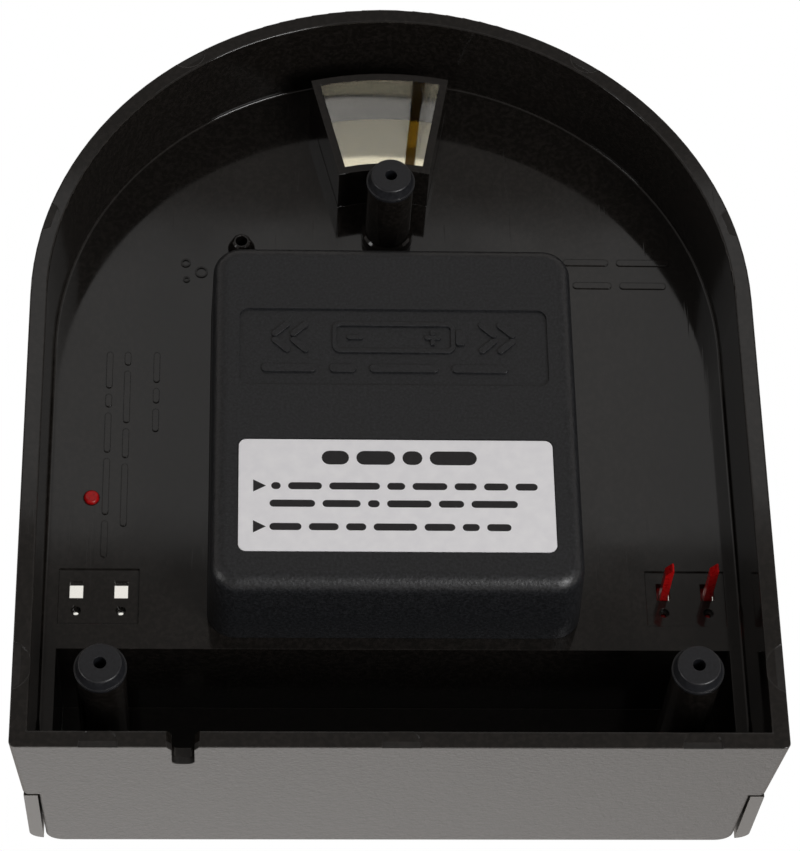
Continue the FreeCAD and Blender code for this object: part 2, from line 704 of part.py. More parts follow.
def make_timer_case():
    """Case of the movement, open below, with a trough for the cell along its front."""
    s = case_size / 2.0
    shell = box(-s, s, dial_cy - s, dial_cy + s, plate_top + 0.05, case_top)
    hollow = box(-s + case_wall, s - case_wall, dial_cy - s + case_wall, dial_cy + s - case_wall,
                 plate_top - 1, case_top - case_wall)
    tray_y1 = dial_cy - s
    tray = box(-tray_width / 2, tray_width / 2, tray_y1 - tray_depth, tray_y1 + 0.1, case_bottom + 5.0, case_top)
    trough = box(-tray_width / 2 + 1.2, tray_width / 2 - 1.2, tray_y1 - tray_depth + 0.7, tray_y1 - 0.6,
                 case_bottom, case_top - 1.2)
    posts = [cyl(2.4, plate_top + 0.05, case_top - 0.5, x, y) for x, y in case_corners(3.4)]
    case = fuse([shell.cut(hollow), tray.cut(trough)] + posts)
    cuts = [cyl(arbor_r + fit, case_top - 5, case_top + 1, 0, dial_cy)]
    for (x, y), r in pivots()[1:]:
        cuts.append(cyl(pivot_r + fit, case_top - case_wall - 1, case_top - 0.5, x, y))
    for x, y in case_corners(3.4):
        cuts.append(cyl(1.0, plate_top - 1, plate_top + 6, x, y))
    return case.cut(cuts)


shapes["timer_case"] = make_timer_case()


def make_timer_plate():
    """Back plate of the movement, screwed to the case, with the lower bearing holes."""
    s = case_size / 2.0
    plate = box(-s, s, dial_cy - s, dial_cy + s, case_bottom, plate_top)
    cuts = []
    for (x, y), r in pivots():
        cuts.append(cyl(r + fit, plate_top - 1.0, plate_top + 1, x, y))
    for x, y in case_corners(3.4):
        cuts.append(cyl(1.15, case_bottom - 1, plate_top + 1, x, y))
    return plate.cut(cuts)


shapes["timer_plate"] = make_timer_plate()


def make_case_screws():
    """Four small cross-head screws that hold the plate."""
    screws = []
    for x, y in case_corners(3.4):
        head = cyl(1.9, case_bottom - 0.8, case_bottom, x, y)
        shank = cyl(0.98, case_bottom - 0.1, plate_top + 5.0, x, y)
        cross = fuse([box(x - 1.1, x + 1.1, y - 0.2, y + 0.2, case_bottom - 1.0, case_bottom - 0.35),
                      box(x - 0.2, x + 0.2, y - 1.1, y + 1.1, case_bottom - 1.0, case_bottom - 0.35)])
        screws.append(fuse([head, shank]).cut(cross))
    return Part.makeCompound(screws)


shapes["case_screws"] = make_case_screws()


def mesh_phase(turn, teeth, driver):
    """Direction of one tooth so that a gear meshes along the direction turn; a driver shows a gap there."""
    a = math.radians(turn)
    return a + (math.pi / teeth if driver else math.pi)


def make_day_wheel():
    """Wheel that turns once a day, with the arbor that carries the dial."""
    x, y = axes[0]
    wheel = gear(wheel_teeth, day_z, day_z + wheel_thick, x, y, mesh_phase(train_turns[0], wheel_teeth, True))
    arbor = cyl(arbor_r, day_z - 0.3, dial_z + 7.8, x, y)
    tail = cyl(1.2, plate_top - 0.9, day_z, x, y)
    return fuse([wheel, arbor, tail])


def make_train_wheel(axis, wheel_z, pinion_z, wheel_phase, pinion_phase):
    """Wheel and pinion on one arbor; the pinion meshes above the wheel."""
    x, y = axis
    wheel = gear(wheel_teeth, wheel_z, wheel_z + wheel_thick, x, y, wheel_phase)
    pinion = gear(pinion_teeth, pinion_z - 0.3, pinion_z + wheel_thick + 0.3, x, y, pinion_phase, 0.9)
    root_r = module * (pinion_teeth / 2.0 - 1.3)
    arbor = cyl(root_r, plate_top + 0.25, case_top - case_wall - 0.25, x, y)
    tips = cyl(pivot_r, plate_top - 0.9, case_top - case_wall + 0.8, x, y)
    return fuse([wheel, pinion, arbor, tips])


shapes["day_wheel"] = make_day_wheel()
shapes["second_wheel"] = make_train_wheel(axes[1], second_z, day_z,
                                          mesh_phase(train_turns[1], wheel_teeth, True),
                                          mesh_phase(train_turns[0], pinion_teeth, False))
shapes["third_wheel"] = make_train_wheel(axes[2], third_z, second_z,
                                         mesh_phase(train_turns[2], wheel_teeth, True),
                                         mesh_phase(train_turns[1], pinion_teeth, False))

magnet_r = 2.6
stator_thick = 1.0


def make_motor_pinion():
    x, y = axes[3]
    pinion = gear(pinion_teeth, third_z - 0.3, third_z + wheel_thick + 0.3, x, y,
                  mesh_phase(train_turns[2], pinion_teeth, False), 0.9)
    root_r = module * (pinion_teeth / 2.0 - 1.3)
    arbor = cyl(root_r, plate_top + 0.25, case_top - case_wall - 0.25, x, y)
    tips = cyl(pivot_r, plate_top - 0.9, case_top - case_wall + 0.8, x, y)
    return fuse([pinion, arbor, tips])


def make_motor_magnet():
    x, y = axes[3]
    root_r = module * (pinion_teeth / 2.0 - 1.3)
    return cyl(magnet_r, motor_z - 0.4, motor_z + stator_thick + 0.4, x, y).cut(
        cyl(root_r, motor_z - 2, motor_z + 4, x, y))


shapes["motor_pinion"] = make_motor_pinion()
shapes["motor_magnet"] = make_motor_magnet()


def make_stator():
    """Soft-iron strip round the magnet, whose two arms reach the ends of the coil's core."""
    mx, my = axes[3]
    z0, z1 = motor_z, motor_z + stator_thick
    core = box(coil_x - 1.4, coil_x + 1.4, my - 4.5, my + coil_length + 9.0, z0, z1)
    ring_plate = cyl(5.4, z0, z1, mx, my)
    lower_arm = box(mx, coil_x, my - 4.5, my + 0.6, z0, z1)
    plate = fuse([core, ring_plate, lower_arm])
    return plate.cut(cyl(magnet_r + 0.4, z0 - 1, z1 + 1, mx, my))


shapes["stator"] = make_stator()


def coil_span():
    y0 = axes[3][1] + 6.4
    return y0, y0 + coil_length


def make_coil_bobbin():
    y0, y1 = coil_span()
    zc = motor_z + stator_thick / 2
    core = rod_y(2.2, y0, y1, coil_x, zc)
    ends = [rod_y(coil_r + 0.2, y0, y0 + 1.0, coil_x, zc), rod_y(coil_r + 0.2, y1 - 1.0, y1, coil_x, zc)]
    slot = box(coil_x - 1.45, coil_x + 1.45, y0 - 1, y1 + 1, motor_z - 0.05, motor_z + stator_thick + 0.05)
    return fuse([core] + ends).cut(slot)


def make_coil_winding():
    y0, y1 = coil_span()
    zc = motor_z + stator_thick / 2
    return rod_y(coil_r, y0 + 1.0, y1 - 1.0, coil_x, zc).cut(rod_y(2.2, y0, y1, coil_x, zc))


shapes["coil_bobbin"] = make_coil_bobbin()
shapes["coil_winding"] = make_coil_winding()

board_z = plate_top + 4.0


def make_circuit_board():
    s = case_size / 2.0 - case_wall - 0.6
    y1 = dial_cy + s
    return box(-s + 5.0, 12.0, y1 - 13.0, y1, board_z, board_z + 1.0)


shapes["circuit_board"] = make_circuit_board()
board_y = dial_cy + case_size / 2.0 - case_wall - 0.6


def make_quartz_crystal():
    """Can of the 32 kHz crystal, lying on the board."""
    return rod_x(1.0, -4.0, 2.2, board_y - 3.4, board_z - 1.0)


def make_timer_chip():
    """Resin drop over the timer chip."""
    drop = Part.makeSphere(4.6, V(-12.0, board_y - 6.5, board_z + 2.8))
    return drop.common(box(-18, -6, board_y - 13, board_y, board_z - 3, board_z))


shapes["quartz_crystal"] = make_quartz_crystal()
shapes["timer_chip"] = make_timer_chip()

cell_y = dial_cy - case_size / 2.0 - tray_depth / 2.0
cell_z = case_top - 1.2 - cell_r - 0.2


def make_cell():
    """AA cell lying across the trough, its button towards -X."""
    x0 = -cell_length / 2.0 + 0.7
    can = rod_x(cell_r, x0, x0 + cell_length, cell_y, cell_z)
    can = fillet_where(can, 0.5, lambda e: e.Length > cell_r * 6)
    return can.fuse(rod_x(2.7, x0 - 1.3, x0 + 0.2, cell_y, cell_z)).removeSplitter()


shapes["aa_cell"] = make_cell()


def make_positive_contact():
    """Flat nickel-plated contact against the cell's button."""
    x = -cell_length / 2.0 + 0.7 - 1.3 - 0.02
    leaf = box(x - 0.4, x, cell_y - 4.0, cell_y + 4.0, cell_z - 5.0, case_top - 1.25)
    return leaf.fuse(box(-tray_width / 2 + 1.25, x, cell_y - 4.0, cell_y + 4.0, case_top - 1.65,
                         case_top - 1.25)).removeSplitter()


def make_negative_contact():
    """Leaf contact with a sprung tongue that presses on the cell's base."""
    x = cell_length / 2.0 + 0.7 + 0.02
    wall_x = tray_width / 2 - 1.25
    back = box(wall_x - 0.4, wall_x, cell_y - 4.0, cell_y + 4.0, cell_z - 5.0, case_top - 1.25)
    tongue = Part.Face(Part.makePolygon([V(wall_x - 0.3, cell_y - 2.5, cell_z - 5.0),
                                         V(wall_x - 0.3, cell_y - 2.5, cell_z - 4.4),
                                         V(x + 0.4, cell_y - 2.5, cell_z + 0.4),
                                         V(wall_x - 1.0, cell_y - 2.5, cell_z + 4.0),
                                         V(wall_x - 1.4, cell_y - 2.5, cell_z + 4.0),
                                         V(x, cell_y - 2.5, cell_z + 0.2),
                                         V(wall_x - 0.4, cell_y - 2.5, cell_z - 5.0),
                                         V(wall_x - 0.3, cell_y - 2.5, cell_z - 5.0)])).extrude(V(0, 5.0, 0))
    return back.fuse(tongue).removeSplitter()


shapes["contact_positive"] = make_positive_contact()
shapes["contact_negative"] = make_negative_contact()


# ---------------------------------------------------------------- battery cover
def make_battery_cover():
    """Deep rounded cover over the movement and its cell, with a recessed panel and a label recess."""
    y0, y1 = arch_y + cover_front, arch_y + cover_rear
    top = deck_z - 0.08
    low = rim_z
    x, lean = cover_half_width, cover_lean
    outer = tapered(round_rect(-x + lean, x - lean, y0 + lean, y1 - lean, low, cover_corner_r),
                    round_rect(-x, x, y0, y1, top, cover_corner_r))
    outer = fillet_where(outer, cover_round, lambda e: abs(e.BoundBox.ZMax - low) < 1e-3)
    t = cover_wall
    corner = cover_corner_r - t
    inner = tapered(round_rect(-x + lean + t, x - lean - t, y0 + lean + t, y1 - lean - t, low + t, corner),
                    round_rect(-x + t, x - t, y0 + t, y1 - t, top + 0.01, corner))
    sign = slab(round_rect(-sign_x, sign_x, arch_y + sign_y[0], arch_y + sign_y[1], low - 1, 1.9), 1 + recess)
    label = slab(round_rect(-label_x - 0.2, label_x + 0.2, arch_y + label_y[0] - 0.2, arch_y + label_y[1] + 0.2,
                            low - 1, 1.7), 1 + label_thick + 0.1)
    return outer.cut([inner, sign, label])


shapes["battery_cover"] = make_battery_cover()


def make_cover_label():
    z0 = rim_z + 0.1
    return slab(round_rect(-label_x, label_x, arch_y + label_y[0], arch_y + label_y[1], z0, 1.5), label_thick)


shapes["cover_label"] = make_cover_label()

# ---------------------------------------------------------------- one STEP file per node
os.makedirs("parts", exist_ok=True)
for node, shape in shapes.items():
    if not shape.isValid():
        print("not valid:", node)
    print(node, len(shape.Solids), round(shape.Volume, 1))
    shape.exportStep("parts/" + node + ".step")
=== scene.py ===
"""Automatic fish feeder seen from below: finishes, print and raised marks, stage, light and camera.

Everything is in metres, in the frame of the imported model. mm() turns millimetres into metres.
"""
import json
import math

import bpy
import numpy as np
from mathutils import Matrix, Vector


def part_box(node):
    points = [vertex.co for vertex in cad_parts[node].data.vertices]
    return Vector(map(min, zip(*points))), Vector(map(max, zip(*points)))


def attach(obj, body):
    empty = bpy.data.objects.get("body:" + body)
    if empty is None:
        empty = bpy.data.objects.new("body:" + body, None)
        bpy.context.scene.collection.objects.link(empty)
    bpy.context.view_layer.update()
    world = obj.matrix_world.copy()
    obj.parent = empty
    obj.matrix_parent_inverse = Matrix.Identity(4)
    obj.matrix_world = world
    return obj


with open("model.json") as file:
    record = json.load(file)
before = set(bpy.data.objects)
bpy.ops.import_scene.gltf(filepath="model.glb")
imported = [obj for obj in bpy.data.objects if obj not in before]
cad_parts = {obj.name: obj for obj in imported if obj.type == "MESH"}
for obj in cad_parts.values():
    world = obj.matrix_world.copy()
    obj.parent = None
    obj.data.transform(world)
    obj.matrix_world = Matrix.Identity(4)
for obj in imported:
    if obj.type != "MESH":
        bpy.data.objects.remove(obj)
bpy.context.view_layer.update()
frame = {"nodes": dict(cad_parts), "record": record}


def mm(*values):
    """Millimetres to metres: a number, or a tuple of them."""
    scaled = tuple(v / 1000.0 for v in values)
    return scaled[0] if len(scaled) == 1 else scaled


# ---------------------------------------------------------------- places taken from the frame
shell_low, shell_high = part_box("base_shell")
cover_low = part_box("battery_cover")[0]
label_low, label_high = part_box("cover_label")
dial_low, dial_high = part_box("timer_dial")
lid_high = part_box("lid")[1]

half_width = shell_high[0]
arch_y = shell_high[1] - half_width          # centre of the round end
front_y = shell_low[1]
rim_z = cover_low[2]
deck_depth = mm(20.0)                        # from the rim to the underside of the deck
deck_z = rim_z + deck_depth
panel_depth = mm(0.5)                        # of the cover's recessed panel
dial_y = (dial_low[1] + dial_high[1]) / 2.0
dial_step = mm(1.6)                          # from the dial's top to its numbered face
dial_face = dial_high[2] - dial_step


# ---------------------------------------------------------------- node and colour helpers
def srgb(code, alpha=1.0):
    """An sRGB hex colour as linear RGBA."""
    channels = [int(code[i:i + 2], 16) / 255.0 for i in (1, 3, 5)]
    linear = [c / 12.92 if c <= 0.04045 else ((c + 0.055) / 1.055) ** 2.4 for c in channels]
    return (*linear, alpha)


def add(tree, kind, settings=None, **inputs):
    """Adds a node.

    settings are its properties, and tones the (position, colour) stops of a colour ramp. inputs are
    socket values, nodes (their first output), or (node, output) links. A socket is named with
    underscores for spaces; a name such as in_1 is a socket's place in the list.
    """
    node = tree.nodes.new(kind)
    for key, value in (settings or {}).items():
        if key == "tones":
            for stop, (position, code) in zip(node.color_ramp.elements, value):
                stop.position = position
                stop.color = srgb(code)
        else:
            setattr(node, key, value)
    for key, value in inputs.items():
        place = int(key[3:]) if key.startswith("in_") else key.replace("_", " ")
        socket = node.inputs[place]
        if hasattr(value, "outputs"):
            value = (value, 0)
        if isinstance(value, tuple) and len(value) == 2 and hasattr(value[0], "outputs"):
            tree.links.new(value[0].outputs[value[1]], socket)
        else:
            socket.default_value = value
    return node


def start(name):
    """A new material with an empty tree; returns it, its tree and a link to Object coordinates."""
    material = bpy.data.materials.new(name)
    material.use_nodes = True
    tree = material.node_tree
    tree.nodes.clear()
    return material, tree, (add(tree, "ShaderNodeTexCoord"), "Object")


def finish_tree(tree, shader, strength=None, height=None, distance=mm(0.1), bevel=None):
    """Joins the shader to the output, with a bump from height in front of its normal."""
    normal = None
    if bevel:
        normal = add(tree, "ShaderNodeBevel", {"samples": 4}, Radius=bevel)
    if height:
        links = {"Height": height, "Strength": strength, "Distance": distance}
        if normal:
            links["Normal"] = normal
        normal = add(tree, "ShaderNodeBump", None, **links)
    if normal:
        tree.links.new(normal.outputs[0], shader.inputs["Normal"])
    output = add(tree, "ShaderNodeOutputMaterial")
    tree.links.new(shader.outputs[0], output.inputs["Surface"])
    return output


def scale_for(size):
    """Noise scale, per metre, for features that many millimetres across."""
    return 1000.0 / size


def plan_reach(tree, place):
    """How far a point lies out from the middle line, or from the arch's centre beyond it.

    The length of (|x|, how far y is past arch_y, or 0 before it).
    """
    across = add(tree, "ShaderNodeMath", {"operation": "ABSOLUTE"}, in_0=(place, "X"))
    beyond = add(tree, "ShaderNodeMath", {"operation": "SUBTRACT"}, in_0=(place, "Y"), in_1=arch_y)
    beyond = add(tree, "ShaderNodeMath", {"operation": "MAXIMUM"}, in_0=beyond, in_1=0.0)
    plan = add(tree, "ShaderNodeCombineXYZ", None, X=across, Y=beyond, Z=0.0)
    return add(tree, "ShaderNodeVectorMath", {"operation": "LENGTH"}, in_0=plan), "Value"


# ---------------------------------------------------------------- materials
wall_lean = 0.05                             # how far the outer walls lean in, per unit of height


def outer_faces(tree, spot):
    """1 on the outer walls and the top of the housing, 0 on its inner faces and its rim."""
    place = add(tree, "ShaderNodeSeparateXYZ", None, Vector=spot)
    lean = add(tree, "ShaderNodeMath", {"operation": "MULTIPLY_ADD"}, in_0=(place, "Z"),
               in_1=wall_lean, in_2=plan_reach(tree, place))
    side = add(tree, "ShaderNodeMath", {"operation": "GREATER_THAN"}, in_0=lean,
               in_1=half_width - mm(1.4))
    ahead = add(tree, "ShaderNodeMath", {"operation": "MULTIPLY_ADD"}, in_0=(place, "Z"),
                in_1=-wall_lean, in_2=(place, "Y"))
    ahead = add(tree, "ShaderNodeMath", {"operation": "LESS_THAN"}, in_0=ahead,
                in_1=front_y + mm(1.2))
    above = add(tree, "ShaderNodeMath", {"operation": "GREATER_THAN"}, in_0=(place, "Z"),
                in_1=shell_high[2] - mm(1.0))
    outer = add(tree, "ShaderNodeMath", {"operation": "MAXIMUM"}, in_0=side, in_1=ahead)
    outer = add(tree, "ShaderNodeMath", {"operation": "MAXIMUM"}, in_0=outer, in_1=above)
    off_rim = add(tree, "ShaderNodeMath", {"operation": "GREATER_THAN"}, in_0=(place, "Z"),
                  in_1=rim_z + mm(0.06))
    return add(tree, "ShaderNodeMath", {"operation": "MULTIPLY"}, in_0=outer, in_1=off_rim)


def make_housing_abs():
    """Injection-moulded black ABS: polished inside, spark-eroded leathery grain outside."""
    material, tree, spot = start("moulded_black_abs")
    outer = outer_faces(tree, spot)
    # outer faces: wrinkles about 1 mm across with finer pits between them
    wrinkle = add(tree, "ShaderNodeTexNoise", {"noise_dimensions": "3D"}, Vector=spot,
                  Scale=scale_for(1.1), Detail=4.0, Roughness=0.7, Distortion=0.5)
    pits = add(tree, "ShaderNodeTexNoise", None, Vector=spot, Scale=scale_for(0.45), Detail=2.0)
    leather = add(tree, "ShaderNodeMath", {"operation": "MULTIPLY_ADD"}, in_0=pits, in_1=0.35,
                  in_2=wrinkle)
    # polished faces: slow waviness from the mould, and fine hairline scratches
    wave = add(tree, "ShaderNodeTexNoise", None, Vector=spot, Scale=scale_for(28.0), Detail=1.0)
    stretch = add(tree, "ShaderNodeMapping", None, Vector=spot, Rotation=(0.0, 0.0, 0.5),
                  Scale=(8.0, 0.35, 1.0))
    hair = add(tree, "ShaderNodeTexNoise", None, Vector=stretch, Scale=scale_for(9.0), Detail=2.0)
    hair = add(tree, "ShaderNodeMapRange", None, Value=hair, From_Min=0.66, From_Max=0.72,
               To_Min=0.0, To_Max=0.025)
    polish = add(tree, "ShaderNodeMath", {"operation": "MULTIPLY_ADD"}, in_0=wave, in_1=0.12,
                 in_2=hair)
    height = add(tree, "ShaderNodeMix", {"data_type": "FLOAT"}, Factor=outer, A=polish, B=leather)
    # handling film: roughness wanders a little on the polished faces
    film = add(tree, "ShaderNodeTexNoise", None, Vector=spot, Scale=scale_for(18.0), Detail=4.0)
    film = add(tree, "ShaderNodeMapRange", None, Value=film, From_Min=0.35, From_Max=0.7,
               To_Min=0.05, To_Max=0.11)
    rough = add(tree, "ShaderNodeMix", {"data_type": "FLOAT"}, Factor=outer, A=film, B=0.5)
    speck = add(tree, "ShaderNodeTexNoise", None, Vector=spot, Scale=scale_for(0.9), Detail=2.0)
    tone = add(tree, "ShaderNodeValToRGB", {"tones": ((0.42, "#141210"), (0.66, "#1e1b19"))},
               Fac=speck)
    shader = add(tree, "ShaderNodeBsdfPrincipled", None, Base_Color=tone, Roughness=rough, IOR=1.53)
    finish_tree(tree, shader, strength=0.6, height=height, distance=mm(0.25), bevel=mm(0.25))
    return material


def make_cover_abs():
    """Black ABS with a fine satin spark finish: soft sheen with pin-prick glints."""
    material, tree, spot = start("satin_black_abs")
    grain = add(tree, "ShaderNodeTexNoise", None, Vector=spot, Scale=scale_for(0.55), Detail=3.0,
                Roughness=0.65)
    cells = add(tree, "ShaderNodeTexVoronoi", None, Vector=spot, Scale=scale_for(0.8))
    height = add(tree, "ShaderNodeMath", {"operation": "MULTIPLY_ADD"}, in_0=cells, in_1=0.6,
                 in_2=grain)
    tone = add(tree, "ShaderNodeValToRGB", {"tones": ((0.4, "#18191b"), (0.7, "#28292c"))},
               Fac=grain)
    rough = add(tree, "ShaderNodeMapRange", None, Value=grain, From_Min=0.3, From_Max=0.7,
                To_Min=0.34, To_Max=0.46)
    shader = add(tree, "ShaderNodeBsdfPrincipled", None, Base_Color=tone, Roughness=rough, IOR=1.53)
    finish_tree(tree, shader, strength=0.6, height=height, distance=mm(0.09))
    return material


def make_tinted(name, tint, density, rough, ripple_mm, side_tint=None, side_reach=0.0):
    """Clear moulded styrene with a smoke tint: it darkens with the thickness the light crosses.

    density is how fast the strongest-absorbed colour fades, per metre. Glossy, with slow ripples
    left by the mould. side_tint is the deep, nearly opaque satin smoke of the upright walls, those
    beyond side_reach.
    """
    material, tree, spot = start(name)
    ripple = add(tree, "ShaderNodeTexNoise", None, Vector=spot, Scale=scale_for(ripple_mm),
                 Detail=1.0)
    film = add(tree, "ShaderNodeMapRange", None, Value=ripple, From_Min=0.3, From_Max=0.7,
               To_Min=rough, To_Max=rough + 0.04)
    face = srgb("#fbfaf7")
    clear = 1.0
    if side_tint:
        place = add(tree, "ShaderNodeSeparateXYZ", None, Vector=spot)
        walls = add(tree, "ShaderNodeMath", {"operation": "GREATER_THAN"},
                    in_0=plan_reach(tree, place), in_1=side_reach)
        clear = add(tree, "ShaderNodeMix", {"data_type": "FLOAT"}, Factor=walls, A=1.0, B=0.25)
        film = add(tree, "ShaderNodeMix", {"data_type": "FLOAT"}, Factor=walls, A=film, B=0.45)
        face = (add(tree, "ShaderNodeMix", {"data_type": "RGBA"}, in_0=walls, in_6=face,
                    in_7=srgb(side_tint)), 2)
    shader = add(tree, "ShaderNodeBsdfPrincipled", None, Base_Color=face, Roughness=film,
                 IOR=1.5, Transmission_Weight=clear)
    smoke = add(tree, "ShaderNodeVolumeAbsorption", None, Color=srgb(tint), Density=density)
    output = finish_tree(tree, shader, strength=0.15, height=ripple, distance=mm(0.3))
    tree.links.new(smoke.outputs[0], output.inputs["Volume"])
    return material


def make_plastic(name, dark, light, rough, grain_mm=0.6, bump=0.2):
    """Moulded plastic: two close tones in a fine grain, and a little bump."""
    material, tree, spot = start(name)
    grain = add(tree, "ShaderNodeTexNoise", None, Vector=spot, Scale=scale_for(grain_mm),
                Detail=3.0)
    tone = add(tree, "ShaderNodeValToRGB", {"tones": ((0.35, dark), (0.7, light))}, Fac=grain)
    wear = add(tree, "ShaderNodeMapRange", None, Value=grain, From_Min=0.3, From_Max=0.7,
               To_Min=rough - 0.06, To_Max=rough + 0.06)
    shader = add(tree, "ShaderNodeBsdfPrincipled", None, Base_Color=tone, Roughness=wear, IOR=1.5)
    finish_tree(tree, shader, strength=bump, height=grain, distance=mm(0.05), bevel=mm(0.12))
    return material


def make_metal(name, dark, light, rough, stretch):
    """Drawn or rolled metal: streaks along the axes that stretch scales least."""
    material, tree, spot = start(name)
    along = add(tree, "ShaderNodeMapping", None, Vector=spot, Scale=stretch)
    streak = add(tree, "ShaderNodeTexNoise", None, Vector=along, Scale=scale_for(0.8), Detail=3.0)
    tone = add(tree, "ShaderNodeValToRGB", {"tones": ((0.3, dark), (0.7, light))}, Fac=streak)
    shader = add(tree, "ShaderNodeBsdfPrincipled", None, Base_Color=tone, Metallic=1.0,
                 Roughness=rough)
    finish_tree(tree, shader, strength=0.2, height=streak, distance=mm(0.02))
    return material


lid_wall = mm(2.75)                          # depth of the lid's dark smoke walls, from outside

finishes = {
    # black, polished inside and leathery outside
    "housing_black": make_housing_abs(),
    # black with a soft satin sheen
    "cover_black": make_cover_abs(),
    # coated paper: bright, with the faint mottle of its fibres
    "label_white": make_plastic("coated_paper", "#f1f1f5", "#f7f7fa",
                                rough=0.5, grain_mm=2.5, bump=0.05),
    # moulded rubber: soft dark grey sheen
    "foot_rubber": make_plastic("moulded_rubber", "#17181b", "#212226",
                                rough=0.36, grain_mm=0.5, bump=0.3),
    # smoke-tinted clear lid: a warm clear top between dark walls
    "lid_smoke": make_tinted("smoke_clear_styrene", "#c0b490", density=110.0, rough=0.03,
                             ripple_mm=40.0, side_tint="#2a2722",
                             side_reach=lid_high[0] - lid_wall),
    # amber smoke, deep enough to turn brown where the light crosses a whole compartment
    "rotor_amber": make_tinted("amber_smoke_styrene", "#bfae00", density=270.0, rough=0.12,
                               ripple_mm=12.0),
    # trip pins and rotor catch: slightly waxy deep red
    "red_plastic": make_plastic("red_acetal", "#a3070a", "#c20d0e",
                                rough=0.3, grain_mm=0.8, bump=0.12),
    # dial: warm white with a soft sheen
    "dial_white": make_plastic("white_abs", "#d8d7cf", "#e4e3dc", rough=0.38),
    # movement case: dull charcoal black
    "movement_black": make_plastic("black_nylon", "#17181a", "#232427", rough=0.5),
    # train wheels: clean, slightly waxy white
    "gear_white": make_plastic("white_acetal", "#dddbd0", "#ebe9e0", rough=0.32),
    # hinge pins, case screws and stator: soft grey shine with rolling streaks
    "steel": make_metal("nickel_plated_steel", "#9b9b9e", "#c4c4c6",
                        rough=0.28, stretch=(1.0, 0.15, 1.0)),
    # coil winding: brown-orange metallic bands of laid wire
    "copper_wire": make_metal("enamelled_copper", "#8d4722", "#c2703c",
                              rough=0.3, stretch=(0.3, 4.0, 0.3)),
    # bobbin: matt cream
    "bobbin_cream": make_plastic("cream_nylon", "#c9b98a", "#d9cba0", rough=0.45),
    # circuit board: semi-gloss green lacquer
    "board_green": make_plastic("solder_mask", "#123a20", "#1d4d2c", rough=0.35, grain_mm=1.2),
    # chip: glossy black drop of resin
    "chip_resin": make_plastic("black_epoxy", "#0c0c0d", "#161617", rough=0.22, grain_mm=2.0),
    # crystal can and cell contacts: bright, nearly mirror-like
    "can_silver": make_metal("bright_nickel", "#b2b2b4", "#d6d6d8",
                             rough=0.15, stretch=(0.4, 0.4, 1.0)),
    # motor magnet: dull, slightly gritty dark grey
    "magnet_grey": make_plastic("sintered_magnet", "#2b2b2e", "#3a3a3d", rough=0.5, grain_mm=0.3),
    # cell wrap: printed blue film over steel
    "cell_wrap": make_plastic("printed_steel_wrap", "#24405c", "#2d4d6d",
                              rough=0.3, grain_mm=3.0, bump=0.05),
}
# ink on the label and the dial: matt near-black
ink = make_plastic("black_printing_ink", "#1c1b1d", "#262527", rough=0.6, grain_mm=0.5, bump=0.05)

for part in frame["record"]["subparts"]:
    piece = frame["nodes"][part["node"]]
    for place in piece.material_slots:
        place.material = finishes[part["material_slot"]]


# ---------------------------------------------------------------- surfaces worked out as arrays
def mesh_piece(name, points, faces, material, body, bevel=0.0):
    """A flat-shaded piece from arrays of points and faces, on a body; bevel rounds its edges."""
    mesh = bpy.data.meshes.new(name)
    mesh.from_pydata(points.tolist(), [], faces.tolist())
    mesh.materials.append(material)
    mesh.shade_flat()
    piece = bpy.data.objects.new(name, mesh)
    bpy.context.scene.collection.objects.link(piece)
    if bevel:
        rounding = piece.modifiers.new("rounding", "BEVEL")
        rounding.width = bevel
        rounding.segments = 2
        rounding.limit_method = "ANGLE"
    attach(piece, body)
    return piece


def stadium(x, y, width, height, turn=0.0, steps=8, corner=None):
    """Outline of a bar with round corners, anticlockwise, about (x, y).

    Each of the four corner centres plus corner times the cosine and sine of steps angles over its
    quarter circle, all turned by turn. Without a corner, the ends are half circles.
    """
    r = min(width, height) / 2.0 if corner is None else corner
    quarter = np.arange(4 * steps) // steps
    share = (np.arange(4 * steps) % steps) / (steps - 1)
    angle = (quarter + share) * (math.pi / 2)
    centre_x = np.repeat([1, -1, -1, 1], steps) * (width / 2.0 - r)
    centre_y = np.repeat([1, 1, -1, -1], steps) * (height / 2.0 - r)
    px = centre_x + r * np.cos(angle)
    py = centre_y + r * np.sin(angle)
    c, s = math.cos(turn), math.sin(turn)
    return np.stack([x + c * px - s * py, y + s * px + c * py], 1)


def plates(name, outlines, low, high, material, body, bevel=0.0):
    """Plates: each outline swept from low to high, its ends closed by fans about its centre."""
    points, faces, first = [], [], 0
    for outline in outlines:
        n = len(outline)
        ring = np.arange(n)
        ahead = (ring + 1) % n
        middle = outline.mean(0)
        lower = np.column_stack([outline, np.full(n, low)])
        upper = np.column_stack([outline, np.full(n, high)])
        ends = np.array([[*middle, low], [*middle, high]])
        points.append(np.vstack([lower, upper, ends]))
        sides = np.vstack([np.column_stack([ring, ahead, ahead + n]),
                           np.column_stack([ring, ahead + n, ring + n])])
        bottom = np.column_stack([ahead, ring, np.full(n, 2 * n)])
        top = np.column_stack([ring + n, ahead + n, np.full(n, 2 * n + 1)])
        faces.append(np.vstack([sides, bottom, top]) + first)
        first += 2 * n + 2
    return mesh_piece(name, np.vstack(points), np.vstack(faces), material, body, bevel)


